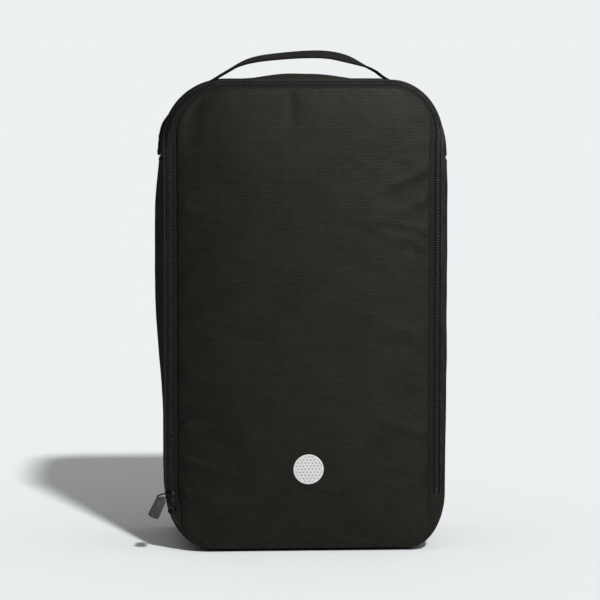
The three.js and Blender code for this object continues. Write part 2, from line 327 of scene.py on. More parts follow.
def finish_piece(obj, material, body, nodes=()):
    obj.data.materials.clear()
    obj.data.materials.append(material)
    if body:
        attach(obj, body)
    if nodes:
        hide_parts(*nodes)
    return obj


# ---- materials

class Value:
    """A node's output, which can be added, subtracted, multiplied and divided."""

    def __init__(self, nodes, socket):
        self.nodes, self.socket = nodes, socket

    def __add__(self, other):
        return self.nodes.math("ADD", self, other)

    def __sub__(self, other):
        return self.nodes.math("SUBTRACT", self, other)

    def __mul__(self, other):
        return self.nodes.math("MULTIPLY", self, other)

    def __truediv__(self, other):
        return self.nodes.math("DIVIDE", self, other)


class Nodes:
    """A short way to write a node tree."""

    def __init__(self, tree):
        self.tree = tree

    def feed(self, socket, value):
        """Links a value to a socket, or sets the socket to a constant."""
        if isinstance(value, Value):
            self.tree.links.new(value.socket, socket)
        else:
            socket.default_value = value

    def make(self, kind, output=0, inputs=None, **settings):
        """Adds a node, feeds its inputs and returns one of its outputs."""
        node = self.tree.nodes.new("ShaderNode" + kind)
        for key, value in settings.items():
            setattr(node, key, value)
        for key, value in (inputs or {}).items():
            self.feed(node.inputs[key], value)
        return Value(self, node.outputs[output])

    def math(self, operation, *values):
        return self.make("Math", 0, dict(enumerate(values)), operation=operation)

    def split(self, vector):
        node = self.tree.nodes.new("ShaderNodeSeparateXYZ")
        self.feed(node.inputs[0], vector)
        return [Value(self, socket) for socket in node.outputs]


class Paint(Nodes):
    """The nodes of a new material."""

    def __init__(self, name):
        self.material = bpy.data.materials.new(name)
        self.material.use_nodes = True
        super().__init__(self.material.node_tree)

    def uv(self):
        return self.make("UVMap", uv_map="weave")

    def place(self):
        return self.make("TexCoord", "Object")

    def noise(self, vector, scale, detail=2.0, stretch=(1, 1, 1)):
        mapped = self.make("Mapping", 0, {"Scale": stretch, "Vector": vector})
        return self.make("TexNoise", "Fac", {"Scale": scale, "Detail": detail, "Vector": mapped})

    def plain_weave(self, u, v, thread):
        """Threads that go over and under each other."""
        turn = 2 * math.pi / thread
        return self.math("SINE", u * turn) * self.math("SINE", v * turn)

    def ramp(self, value, *stops):
        node = self.tree.nodes.new("ShaderNodeValToRGB")
        for element, (position, colour) in zip(node.color_ramp.elements, stops):
            element.position = position
            element.color = (*colour, 1)
        self.feed(node.inputs[0], value)
        return Value(self, node.outputs[0])

    def bump(self, height, distance, strength=1.0, under=None):
        inputs = {"Strength": strength, "Distance": distance, "Height": height}
        if under:
            inputs["Normal"] = under
        return self.make("Bump", 0, inputs)

    def finish(self, colour, roughness, normal, **others):
        shader = self.tree.nodes["Principled BSDF"]
        for key, value in {"Base Color": colour, "Roughness": roughness, "Normal": normal, **others}.items():
            self.feed(shader.inputs[key.replace("_", " ")], value)
        return self.material


def grid_cloth(name, dark, light, gloss):
    """Matt woven polyester with a small raised grid; every doubled thread varies along its length."""
    n = Paint(name)
    u, v, _ = n.split(n.uv())
    lines = []
    for along, across, cell, run in ((v, u, 2.05 * MM, 170.0), (u, v, 1.75 * MM, 120.0)):
        count = across / cell
        off = n.math("ABSOLUTE", n.math("FRACT", count) - 0.5)
        line = n.math("MINIMUM", n.math("MAXIMUM", (off - 0.24) * 5.5, 0.0), 1.0)
        which = n.math("FLOOR", count + 0.5) * 3.71
        yarn = n.noise(n.make("CombineXYZ", 0, {0: along * run, 1: which}), 1.0)
        lines.append(line * n.math("MAXIMUM", (yarn - 0.22) * 1.9, 0.05))
    ridge = n.math("MAXIMUM", lines[0] * 0.6, lines[1])
    slub = n.noise(n.uv(), 1.0, 2.0, (160, 1500, 1))
    patch = n.noise(n.uv(), 42.0, 3.0)
    colour = n.ramp(ridge * 0.68 + slub * 0.62 + patch * 0.5 - 0.46, (0.0, dark), (1.0, light))
    height = ridge + slub * 0.8 + n.plain_weave(u, v, 0.40 * MM) * 0.12
    return n.finish(colour, ridge * -0.12 + 0.60, n.bump(height, 0.22 * MM), Sheen_Weight=0.01,
                    Sheen_Roughness=0.5, Specular_IOR_Level=gloss, Specular_Tint=(1.0, 0.96, 0.84, 1.0))


def lining_cloth(name):
    n = Paint(name)
    u, v, _ = n.split(n.uv())
    crease = n.noise(n.uv(), 38.0, 4.0)
    # painted shade: the colour follows the crease noise that also bumps the cloth, so the hollows of the creases are
    # painted darker and their crowns lighter; the fine noise adds random tone
    tone = crease * 0.6 + n.noise(n.uv(), 700.0) * 0.4
    colour = n.ramp(tone, (0.2, (0.012, 0.0122, 0.0135)), (0.8, (0.028, 0.0285, 0.031)))
    threads = n.bump(n.plain_weave(u, v, 0.45 * MM), 0.05 * MM, 0.6)
    return n.finish(colour, crease * 0.2 + 0.42, n.bump(crease, 0.9 * MM, 0.5, threads), Sheen_Weight=0.12,
                    Specular_IOR_Level=0.5)


def tape_cloth(name, dark, light):
    """Woven tape with a herringbone rib."""
    n = Paint(name)
    u, v, _ = n.split(n.uv())
    slant = n.math("ABSOLUTE", n.math("FRACT", v / (3.2 * MM)) - 0.5)
    wave = n.math("SINE", u * (2 * math.pi / (0.7 * MM)) + slant * 18.0)
    tone = wave * 0.22 + n.noise(n.uv(), 1500.0)
    return n.finish(n.ramp(tone, (0.25, dark), (0.85, light)), 0.70, n.bump(tone, 0.12 * MM, 0.8),
                    Sheen_Weight=0.01, Specular_IOR_Level=0.15)


def webbing_cloth(name):
    """Flat ribbed webbing: fine ribs along it, crossed by the weft."""
    n = Paint(name)
    u, v, _ = n.split(n.uv())
    rib = n.math("SINE", v * (2 * math.pi / (1.1 * MM)))
    pick = n.math("SINE", u * (2 * math.pi / (0.85 * MM)))
    height = rib * 0.35 + rib * pick * 0.35 + n.noise(n.uv(), 1300.0)
    colour = n.ramp(height, (0.1, (0.0008, 0.0008, 0.0007)), (1.0, (0.0085, 0.0078, 0.0064)))
    return n.finish(colour, 0.66, n.bump(height, 0.2 * MM, 0.9), Sheen_Weight=0.01, Specular_IOR_Level=0.08,
                    Specular_Tint=(1.0, 0.96, 0.86, 1.0))


def mottled(name, grain, stops, relief, rough, rough_grain=0.0, **others):
    """A plain stuff with one noise in its colour, its relief and, by rough_grain, its roughness."""
    n = Paint(name)
    cloud = n.noise(n.place(), *grain)
    roughness = cloud * rough_grain + rough if rough_grain else rough
    return n.finish(n.ramp(cloud, *stops), roughness, n.bump(cloud, *relief), **others)


def black_metal(name):
    """Black electroplate, rubbed lighter in places."""
    n = Paint(name)
    wear = n.noise(n.place(), 260.0, 4.0)
    fine = n.noise(n.place(), 2400.0)
    colour = n.ramp(wear, (0.48, (0.010, 0.010, 0.010)), (0.80, (0.040, 0.040, 0.040)))
    return n.finish(colour, fine * 0.16 + 0.26, n.bump(fine, 0.02 * MM, 0.5), Metallic=1.0)


def tab_rubber(name):
    """Soft moulded tab with a fine leather-like grain."""
    n = Paint(name)
    grain = n.make("TexVoronoi", "Distance", {"Scale": 1500.0, "Vector": n.place()}, feature="DISTANCE_TO_EDGE")
    cloud = n.noise(n.place(), 240.0, 3.0)
    colour = n.ramp(cloud, (0.3, (0.026, 0.0255, 0.0225)), (0.75, (0.046, 0.045, 0.040)))
    return n.finish(colour, 0.5, n.bump(grain, 0.12 * MM, 0.5), Specular_IOR_Level=0.35)


def print_ink(name):
    """Thick white transfer print, dimpled like a ball, with painted shade in the dimples."""
    n = Paint(name)
    speck = n.noise(n.place(), 1100.0, 3.0)
    # painted shade: the colour is darker where the dimple pits are carved
    tone = speck * 0.3 + 0.8 - n.make("Attribute", "Fac", attribute_name="dimple_shade") * 0.55
    colour = n.ramp(tone, (0.2, (0.27, 0.27, 0.27)), (0.95, (0.56, 0.56, 0.555)))
    return n.finish(colour, 0.55, n.bump(speck, 0.05 * MM, 0.4), Specular_IOR_Level=0.4)


CLOTH = grid_cloth("grid_cloth", (0.0009, 0.0008, 0.0006), (0.0150, 0.0140, 0.0112), 0.155)
# painted light: the gussets use a copy of the grid cloth with its gloss taken away and its colour raised about two
# and a half times, so the sheen and light the sides and top catch are painted into the colour
SIDE_CLOTH_PAINTED_LIGHTER = grid_cloth("gusset_cloth_painted_lighter", (0.0045, 0.0045, 0.0036), (0.0400, 0.0390, 0.0320), 0.0)
LINING = lining_cloth("lining_cloth")
TAPE = tape_cloth("zip_tape", (0.0010, 0.0010, 0.0010), (0.0078, 0.0076, 0.0074))
PIPING = tape_cloth("edge_piping", (0.004, 0.004, 0.004), (0.018, 0.018, 0.016))
WEBBING = webbing_cloth("webbing")
THREAD = mottled("sewing_thread", (900.0, 1.0, (1, 1, 2.5)),
                 ((0.3, (0.0132, 0.0129, 0.0120)), (0.75, (0.0220, 0.0215, 0.0200))),
                 (0.1 * MM, 0.7), 0.55, Sheen_Weight=0.02, Specular_IOR_Level=0.3)
COIL = mottled("nylon_coil", (420.0,), ((0.3, (0.0036, 0.0036, 0.0038)), (0.8, (0.0150, 0.0146, 0.0144))),
               (0.04 * MM, 0.5), 0.3, 0.2, Specular_IOR_Level=0.28)
METAL = black_metal("black_metal")
RUBBER = tab_rubber("tab_rubber")
PRINT = print_ink("white_print")
BOARD = mottled("board_plastic", (90.0, 3.0), ((0.3, (0.080, 0.080, 0.084)), (0.8, (0.120, 0.120, 0.126))),
                (0.2 * MM, 0.3), 0.55)


# ---- cloth simulation

SWELL_FRAMES = 26
SWELL_SETTINGS = {
    "quality": 6, "mass": 0.3, "air_damping": 2.0, "tension_stiffness": 20, "compression_stiffness": 20,
    "shear_stiffness": 8, "bending_stiffness": 2.0, "tension_damping": 10, "compression_damping": 10,
    "vertex_group_mass": "pin", "shrink_min": -0.006, "use_pressure": True, "uniform_pressure_force": 1.0,
}


def relax(points, pinned):
    """Lets a pinned sheet of points swell under pressure and returns where it settles."""
    sheet = new_object("relaxing", points.reshape(-1, 3), grid_faces(*points.shape[:2]))
    group = sheet.vertex_groups.new(name="pin")
    group.add([int(i) for i in np.flatnonzero(pinned.ravel())], 1.0, "REPLACE")
    cloth = sheet.modifiers.new("cloth", "CLOTH")
    for key, value in SWELL_SETTINGS.items():
        setattr(cloth.settings, key, value)
    cloth.settings.effector_weights.gravity = 0
    cloth.collision_settings.use_collision = False
    cloth.point_cache.frame_start = 1
    cloth.point_cache.frame_end = SWELL_FRAMES
    scene = bpy.context.scene
    for f in range(1, SWELL_FRAMES + 1):
        scene.frame_set(f)
    evaluated = sheet.evaluated_get(bpy.context.evaluated_depsgraph_get())
    co = np.zeros(points.size)
    evaluated.data.vertices.foreach_get("co", co)
    scene.frame_set(1)
    bpy.data.objects.remove(sheet)
    return co.reshape(points.shape)


def finer(grid):
    """Doubles a grid of points with a smooth curve through them."""
    def along(a):
        left = np.concatenate([2 * a[:1] - a[1:2], a, 2 * a[-1:] - a[-2:-1]])
        mid = (9 * (left[1:-2] + left[2:-1]) - left[:-3] - left[3:]) / 16
        out = np.empty((2 * len(a) - 1, *a.shape[1:]))
        out[0::2] = a
        out[1::2] = mid
        return out
    return along(along(grid).swapaxes(0, 1)).swapaxes(0, 1)


# ---- front and back panels

def panel_edge(inset, low_inset, run_out=ZIP_RUN_OUT, shift=top_shift):
    """A panel's edge: points (x, z) round the outline, moved in by inset, or by low_inset under the zip's ends."""
    s = np.linspace(0, LOOP_LENGTH, 1440, endpoint=False)
    place, normal = loop_at(s)
    moved = inset - shift(s)
    if low_inset is not None:
        w = smooth(*run_out, place[:, 1])
        moved = low_inset * (1 - w) + moved * w
    return place - normal * moved[:, None]


def panel_grid(edge, cols):
    """A grid of (x, z) that fills a panel's edge, with close rows in its corners."""
    top = int(np.argmin(np.abs(edge[:, 0]) + (edge[:, 1] < 0.2)))
    low, high = edge[:, 1].min(), edge[:, 1].max()
    low_corner, high_corner = 0.040, 0.042
    bend = np.linspace(0, math.pi / 2, 19)
    z = np.concatenate([
        low + low_corner * (1 - np.cos(bend)),
        np.linspace(low + low_corner, high - high_corner, 96)[1:-1],
        high - high_corner * (1 - np.cos(bend[::-1])),
    ])
    z[0] += 0.01 * MM
    z[-1] -= 0.01 * MM
    ends = []
    for side, part, low_end, high_end in ((-1, edge[top:], LEFT_CORNER, TOP_LEFT_CORNER),
                                          (1, edge[:top + 1], RIGHT_CORNER, TOP_RIGHT_CORNER)):
        part = part[np.argsort(part[:, 1], kind="stable")]
        part = part[side * part[:, 0] > 0.02]
        x = np.interp(z, part[:, 1], part[:, 0])
        x[0], x[-1] = side * (HALF_WIDTH - low_end[0]), side * (HALF_WIDTH - high_end[0])
        ends.append(x[:, None])
    u = np.linspace(0, 1, cols)
    return ends[0] * (1 - u) + ends[1] * u, np.repeat(z[:, None], cols, 1)


def edge_distance(x, z, edge):
    """How far each point of a panel lies from its edge."""
    out = np.empty(x.size)
    flat = np.stack([x.ravel(), z.ravel()], -1)
    for i in range(0, len(flat), 2000):
        gap = flat[i:i + 2000, None, :] - edge[None, ::2, :]
        out[i:i + 2000] = np.sqrt((gap ** 2).sum(-1).min(1))
    return out.reshape(x.shape)


def panel_field(cols, *edge_sizes):
    """A panel's grid of (x, z) and how far each point lies from the panel's edge."""
    edge = panel_edge(*edge_sizes)
    x, z = panel_grid(edge, cols)
    return x, z, edge_distance(x, z, edge)


# folds that run in from the side seams: side, height, slope, size, reach and width in mm
PUCKERS = (
    (-1, 140, -0.35, 2.6, 30, 5.5), (-1, 97, -0.12, 2.4, 26, 4.2), (-1, 70, -0.1, 1.6, 20, 3.6),
    (-1, 46, -0.2, 2.4, 24, 4.5), (-1, 205, 0.2, 1.4, 22, 5), (-1, 262, -0.3, 1.5, 22, 5),
    (1, 292, -0.5, 1.7, 32, 5), (1, 268, -0.45, 1.9, 36, 5), (1, 158, 0.45, 1.8, 30, 5),
    (1, 124, 0.3, 1.3, 22, 4), (1, 88, 0.35, 1.7, 28, 4.5), (1, 60, 0.2, 1.3, 22, 4),
)
# dents that hang from the top seam: place across, size, reach and width in mm
TOP_DENTS = ((-11, 1.3, 26, 4.5), (-82, 2.0, 14, 7), (38, 0.6, 14, 6), (-48, 0.4, 12, 6), (74, 0.9, 16, 6))
SMALL_PUCKERS = 13                     # random ones on each side


def seam_puckers(x, z, distance):
    """Short ripples that run in from the sewn edge."""
    rng = np.random.RandomState(5)
    height = np.zeros(x.shape)
    for side in (-1, 1):
        near = smooth(-0.02, 0.06, side * x)
        for _ in range(SMALL_PUCKERS):
            at = rng.uniform(0.03, 0.33)
            slope = rng.uniform(-0.5, 0.5)
            reach = rng.uniform(8, 28) * MM
            size = rng.uniform(0.35, 1.25) * MM
            width = rng.uniform(3.5, 7.5) * MM
            line = (z - at - slope * distance) / width
            height += near * size * np.exp(-line ** 2) * np.cos(line * 2.2) * np.exp(-distance / reach)
    for side, at, slope, size, reach, width in PUCKERS:
        line = (z - at * MM - slope * distance) / (width * MM)
        near = smooth(0.02, 0.07, side * x)
        height += near * size * MM * np.exp(-line ** 2 - distance / (reach * MM))
    for at, size, reach, width in TOP_DENTS:
        line = (x - at * MM) / (width * MM)
        height -= smooth(0.27, 0.32, z) * size * MM * np.exp(-line ** 2 - distance / (reach * MM))
    return height * smooth(0, 7 * MM, distance)


def front_surface():
    """The outer face of the front panel as a grid of points, swollen and puckered."""
    x, z, depth = panel_field(79, PANEL_INSET, 0.6 * MM)
    base_y = FRONT_Y - 0.5 * MM
    start = np.stack([x, base_y - 1.5 * MM * smooth(0, 30 * MM, depth), z], -1)
    pinned = np.ones(x.shape, bool)
    pinned[1:-1, 1:-1] = False
    crown = 1 - (1 - np.clip(depth / (96 * MM), 0, 1)) ** 2
    for _ in range(30):
        middle = crown[1:-1, 1:-1]
        crown[1:-1, 1:-1] = (middle + crown[:-2, 1:-1] + crown[2:, 1:-1] + crown[1:-1, :-2] + crown[1:-1, 2:]) / 5
    settled = relax(start, pinned)
    lift = base_y - settled[..., 1]
    top = 10.5 * MM
    lift = 0.45 * top * np.tanh(lift / top) + 9.0 * MM * crown
    lift *= (0.62 + 0.38 * smooth(0.01, 0.11, z)) * (1 - 0.22 * smooth(0.20, 0.34, z))
    lift += 1.1 * MM * (1 - np.exp(-depth / (3 * MM)))
    lift += seam_puckers(x, z, depth) + 0.45 * MM * wobble(x, z, 0.06, 3) * smooth(0, 25 * MM, depth)
    settled[..., 1] = base_y - lift
    return finer(settled)


def panel_shell(name, face, back_y):
    """A closed pad from its outer face: the edge is turned under and a flat back closes it."""
    centre = face.mean((0, 1))
    inner = centre + (face - centre) * 0.994
    inner[..., 1] = back_y
    return shell(name, face, inner, plane_uv(face))


def thin_sheet(name, x, y, z, body, nodes):
    """A sheet of lining."""
    outer = np.stack([x, y, z], -1)
    sheet = shell(name, outer, outer - FRONT * SHEET_THICK, plane_uv(outer))
    return finish_piece(sheet, LINING, body, nodes)


def build_front():
    face = front_surface()
    pad = panel_shell("front_panel_cloth", face, FRONT_Y + 2.6 * MM)
    finish_piece(pad, CLOTH, None, ["front_panel", "front_foot_panel", "front_foam", "front_foot_foam"])
    fold_across(pad)
    return pad


def fold_across(obj):
    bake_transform(obj)


def build_front_lining():
    x, z, depth = panel_field(61, PANEL_INSET + 0.5 * MM, 4.9 * MM, ZIP_RUN_OUT, lambda s: 0.75 * top_shift(s))
    ripple = 0.5 * MM * wobble(x, z, 0.03, 11) + 0.35 * MM * wobble(x, z, 0.012, 12)
    y = FRONT_Y + 3.3 * MM + (0.5 * MM + ripple) * smooth(0, 12 * MM, depth)
    fold_across(thin_sheet("front_lining_cloth", x, y, z, None, ["front_lining", "front_foot_lining"]))


def back_shift(s):
    return BACK_SHIFT * over_top(s)


def build_back():
    x, z, depth = panel_field(91, 1.6 * MM + BACK_SHIFT, 1.6 * MM, (0.0, 0.3), back_shift)
    swell = 5.0 * MM * (1 - np.exp(-depth / (16 * MM))) + 2.0 * MM * smooth(0, 60 * MM, depth)
    swell *= 0.6 + 0.4 * smooth(0.0, 0.08, z)
    swell += seam_puckers(-x, z, depth) + 0.6 * MM * wobble(x, z, 0.05, 21) * smooth(0, 20 * MM, depth)
    face = finer(np.stack([x, BACK_Y - 0.4 * MM + swell, z], -1))
    pad = panel_shell("back_panel_cloth", face, BACK_Y - 3.2 * MM)
    finish_piece(pad, CLOTH, "case", ["back_panel", "back_foam"])
    x, z, depth = panel_field(91, 6.0 * MM + BACK_SHIFT, None, None, back_shift)
    y = BACK_Y - 4.0 * MM - (0.6 * MM + 0.8 * MM * wobble(x, z, 0.035, 31)) * smooth(0, 14 * MM, depth)
    thin_sheet("back_lining_cloth", x, y, z, "case", ["back_lining"])


# ---- gussets

def swell_at(s, t):
    """How far the gusset stands out of the edge outline at distance s and depth share t."""
    place, normal = loop_at(s)
    x, z = place[..., 0], place[..., 1]
    nx, nz = normal[..., 0], normal[..., 1]
    left = 6.3 * MM * smooth(0.085, 0.19, z) * (1 - 0.7 * smooth(0.255, 0.31, z))
    right = 5.2 * MM * (0.55 + 0.45 * smooth(0.04, 0.15, z)) * (1 - 0.5 * smooth(0.27, 0.32, z))
    side = np.where(x < 0, left, right) * smooth(0.75, 1.0, np.abs(nx))
    flat_top = smooth(0.8, 1.0, nz)
    crown = (6.4 * MM * smooth(0.064, 0.006, np.abs(x)) - 2.0 * MM) * flat_top
    corner = -2.2 * MM * smooth(0.25, 0.7, nz) * (1 - flat_top)
    base = 2.0 * MM * smooth(0.5, 1.0, -nz)
    profile = np.sin(math.pi * np.clip(t, 0, 1)) ** 0.7
    return (side + crown + corner + base) * profile


def gusset_profile():
    """Depth share, inset and y of a gusset's cross-section, with a rolled front and back edge."""
    roll = 2.3 * MM
    front, back = FRONT_Y - 0.1 * MM, BACK_Y + 0.6 * MM
    angles = np.linspace(0, math.pi / 2, 6)
    rows = [(0.0, roll * (1 - math.sin(a)), front + roll * (1 - math.cos(a))) for a in angles]
    y0, y1 = rows[-1][2], back - roll
    rows += [(t, 0.0, y0 + (y1 - y0) * t) for t in np.linspace(0, 1, 34)[1:-1]]
    return rows + [(1.0, roll * (1 - math.sin(a)), back - roll * (1 - math.cos(a))) for a in angles[::-1]]


def gusset_ripple(s, t, y):
    """Low waves of the gusset's cloth at distance s and depth y."""
    mask = math.sin(math.pi * t) ** 0.6 if 0 < t < 1 else 0
    return (0.55 * MM * wobble(s, y, 0.04, 41) + 0.3 * MM * wobble(s, y, 0.016, 42)) * mask


def build_gusset(name, s0, s1, nodes):
    """A gusset's cloth from s0 to s1; its ends sink into their seams."""
    s = np.linspace(s0, s1, int((s1 - s0) / (2.2 * MM)) + 1)
    dense = np.array([0.0, 0.4, 0.9, 1.6]) * MM
    s = np.unique(np.concatenate([s0 + dense, s, s1 - dense]))
    sink = 0.9 * MM * (1 - smooth(0, 2.0 * MM, np.minimum(s - s0, s1 - s)))
    step_back = 3.4 * MM * zip_turned(s)
    rows = []
    for t, inset, y in gusset_profile():
        out = swell_at(s, t)
        outer = loop_point(s, inset - out - gusset_ripple(s, t, y) + sink, y + step_back * (1 - t))
        inner = loop_point(s, WALL - out, y)
        outer[:, 2] = np.maximum(outer[:, 2], 0.0)
        inner[:, 2] = np.maximum(inner[:, 2], 1.5 * MM)
        rows.append((outer, inner, uv_row(s, y)))
    # the gussets take the lighter copy of the cloth, with their light painted into its colour
    finish_piece(ribbon(name, rows), SIDE_CLOTH_PAINTED_LIGHTER, "case", nodes)


def build_gussets():
    gap = 0.15 * MM
    right_top, left_top = side_s(1, SEAM_Z), side_s(-1, SEAM_Z)
    build_gusset("gusset_right_cloth", BASE_HALF + gap, right_top - gap, ["gusset_right"])
    build_gusset("gusset_top_cloth", right_top + gap, left_top - gap, ["gusset_top", "gusset_foam"])
    build_gusset("gusset_left_cloth", left_top + gap, LOOP_LENGTH - BASE_HALF - gap, ["gusset_left"])
    build_gusset("base_cloth", -BASE_HALF + gap, BASE_HALF - gap, ["base_panel"])
    build_seam_stitches()


def build_seam_stitches():
    """Topstitching beside the seams between the side and top gussets."""
    y0, y1 = FRONT_Y + 2.2 * MM, BACK_Y - 1.7 * MM
    paths = []
    for side in (-1, 1):
        for gap in (-3.2 * MM, 3.2 * MM):
            s = np.array([side_s(side, SEAM_Z + gap)])
            normal = loop_at(s)[1]
            outward = np.array([normal[0, 0], 0, normal[0, 1]])
            beside = np.cross(outward, (0, 1, 0))
            for middle in np.arange(y0 + 5 * MM, y1 - 4 * MM, STITCH_PITCH):
                if gap > 0 and abs(middle) < STRAP_WIDE / 2 + 1 * MM:
                    continue
                points = []
                for f, h in ((-1.05, -0.1), (-0.6, 0.12), (0, 0.18), (0.6, 0.12), (1.05, -0.1)):
                    y = middle + f * MM
                    t = (y - y0) / (y1 - y0)
                    points.append(loop_point(s, -swell_at(s, t) - gusset_ripple(s, t, y) - h * MM, y)[0])
                paths.append((points, [outward] * 5, [beside] * 5, STITCH_SIZES))
    piece = sweep(paths, circle(STITCH_RADIUS, 6), "gusset_seam_stitches")
    finish_piece(piece, THREAD, "case")


def build_gusset_lining():
    """The gussets' lining, and the tape that binds its back seam."""
    s = np.linspace(0, LOOP_LENGTH, 420, endpoint=False)
    y0, y1 = FRONT_Y + 3.4 * MM, BACK_Y - 3.6 * MM
    rows = []
    for t in np.linspace(0, 1, 34):
        y = y0 + (y1 - y0) * t
        out = swell_at(s, t) * 0.9
        crease = (0.5 * MM * wobble(s, y, 0.022, 51) + 0.3 * MM) * math.sin(math.pi * t)
        outer, inner = loop_point(s, 4.6 * MM - out, y), loop_point(s, 5.3 * MM - out + crease, y)
        outer[:, 2] = np.maximum(outer[:, 2], 4.9 * MM)
        inner[:, 2] = np.maximum(inner[:, 2], 5.6 * MM)
        rows.append((inner, outer, uv_row(s, y)))
    finish_piece(ribbon("gusset_lining_cloth", rows, True), LINING, "case", ["gusset_lining"])
    s = np.linspace(0, LOOP_LENGTH, 360, endpoint=False)
    rows = []
    for inset, rise in ((5.6, 0.0), (5.9, 0.5), (6.6, 0.75), (7.6, 0.7), (8.3, 0.4), (8.6, 0.0)):
        inward = inset * MM - swell_at(s, 0.97)
        rows.append((loop_point(s, inward, y1 - (0.6 + rise) * MM), loop_point(s, inward, y1 - 0.2 * MM),
                     uv_row(s, inset * MM)))
    band = ribbon("back_seam_binding_tape", rows, True)
    finish_piece(band, TAPE, "case", ["back_seam_binding"])


# ---- zip

def chain_frame(s):
    """Middle of the chain at distances s, its outward direction and the way it faces."""
    over = zip_turned(s)
    normal = loop_at(s)[1]
    outward = np.stack([normal[..., 0], np.zeros_like(over), normal[..., 1]], -1)
    middle = loop_point(s, chain_inset(s), FRONT_Y + 1.3 * MM * over)
    c, d = np.cos(ZIP_TURN * over)[..., None], np.sin(ZIP_TURN * over)[..., None]
    return middle, c * outward - d * FRONT, c * FRONT + d * outward


def case_tape(s):
    """The bag's tape, from its edge to the chain's middle."""
    middle, outward, face = chain_frame(s)
    rows = []
    for out, rise in ((3.9, -0.9), (3.3, -0.3), (2.5, 0.0), (1.7, -0.05), (0.9, -0.2)):
        spot = middle + outward * out * MM + face * rise * MM
        rows.append((spot, spot - face * SHEET_THICK, uv_row(s, out * MM)))
    finish_piece(ribbon("zip_tape_case", rows), TAPE, "case", ["zip_tape_body", "zip_facing"])


def door_tape(s):
    """The flap's tape: from the chain it bends onto the front and runs under the panel's seam."""
    middle, outward, face = chain_frame(s)
    start = middle - outward * (0.8 * MM) - face * (0.1 * MM)
    end = loop_point(s, PANEL_INSET + 1.4 * MM - top_shift(s), FRONT_Y - 0.1 * MM)
    over = zip_turned(s)[:, None]
    rows = []
    for w in (0.0, 0.07, 0.16, 0.28, 0.42, 0.56, 0.7, 0.85, 1.0):
        crest = math.sin(math.pi * w ** 0.7) * (0.15 * MM + 0.25 * MM * over)
        ridge = 0.22 * MM * math.exp(-((w - 0.62) / 0.09) ** 2)
        spot = start * (1 - w) + end * w + FRONT * (crest + ridge)
        rows.append((spot, spot - (face * (1 - w) + FRONT * w) * SHEET_THICK, uv_row(s, 7 * MM * w)))
    nodes = ["zip_tape_flap", "zip_end_left", "zip_end_right"]
    fold_across(finish_piece(ribbon("zip_tape_door", rows), TAPE, None, nodes))


# a tooth from its root to its head: reach towards the other half, rise and thickness
TOOTH = ((2.15, -0.45, 0.8), (1.9, 0.1, 0.85), (1.4, 0.6, 0.9), (0.7, 0.75, 0.95), (-0.1, 0.7, 1.05),
         (-0.7, 0.45, 1.3), (-0.95, 0.0, 1.0))


def coil(name, s0, s1, side, shift, body, nodes):
    """Coil teeth from s0 to s1; side -1 stands on the bag's tape and +1 on the flap's tape."""
    count = int((s1 - s0) / COIL_PITCH)
    paths = []
    for middle, outward, face in zip(*chain_frame(s0 + (np.arange(count) + shift) * COIL_PITCH)):
        points = [middle - outward * (side * reach * MM) + face * (rise * MM) for reach, rise, _ in TOOTH]
        along = np.cross(outward, face)
        paths.append((points, [along] * len(TOOTH), [face] * len(TOOTH), [size for *_, size in TOOTH]))
    piece = sweep(paths, circle(0.42 * MM, 6, 0.8), name)
    finish_piece(piece, COIL, body, nodes)


def edge_cord(name, s, offset, rise, radius, body, material=TAPE, twist=0.0):
    """A cord that runs beside the chain, such as the sewing over the coil or the piping at the edge."""
    middle, outward, face = chain_frame(s)
    wave = np.sin(np.arange(len(s)) * math.pi * 0.9)[:, None] * twist
    points = middle + outward * (offset + wave) + face * rise
    piece = sweep([(points, outward, face, np.ones(len(s)))], circle(radius, 6), name)
    finish_piece(piece, material, body)


def edge_stitches(name, s_values, offset, rise, body):
    """A row of lockstitches beside the chain."""
    paths = []
    for s in s_values:
        middle, outward, face = chain_frame(s + np.array([-0.5, -0.3, 0.0, 0.3, 0.5]) * STITCH_LENGTH)
        height = rise + np.array([0.0, 0.7, 1.0, 0.7, 0.0])[:, None] * STITCH_RADIUS
        paths.append((middle + outward * offset + face * height, outward, face, STITCH_SIZES))
    finish_piece(sweep(paths, circle(STITCH_RADIUS, 6), name), THREAD, body)


def build_side_facing():
    """The folded cloth between the right-hand tape and the bag's edge."""
    s = np.linspace(side_s(1, TAPE_END_RIGHT), side_s(1, 322 * MM), 170)
    turned = zip_turned(s)
    inner, outer = chain_inset(s) - 2.2 * MM, 1.3 * MM + 0.6 * MM * turned
    rows = []
    for w in np.linspace(0, 1, 15):
        fold = 0.5 * math.sin(math.pi * min(1, w * 2.2)) + 0.35 * math.sin(math.pi * max(0, w * 2.2 - 1.2)) + 0.1
        inset = inner * (1 - w) + outer * w
        ripple = 0.15 * MM * wobble(s, inset, 0.009, 71)
        y = FRONT_Y - (fold * MM + ripple * math.sin(math.pi * w)) * (1 - turned) + 4.2 * MM * turned
        rows.append((loop_point(s, inset, y), loop_point(s, inset, y + FACING_THICK), uv_row(s, inset)))
    # the facing takes the lighter copy of the cloth, with its light painted into its colour
    finish_piece(ribbon("side_facing_right", rows), SIDE_CLOTH_PAINTED_LIGHTER, "case")


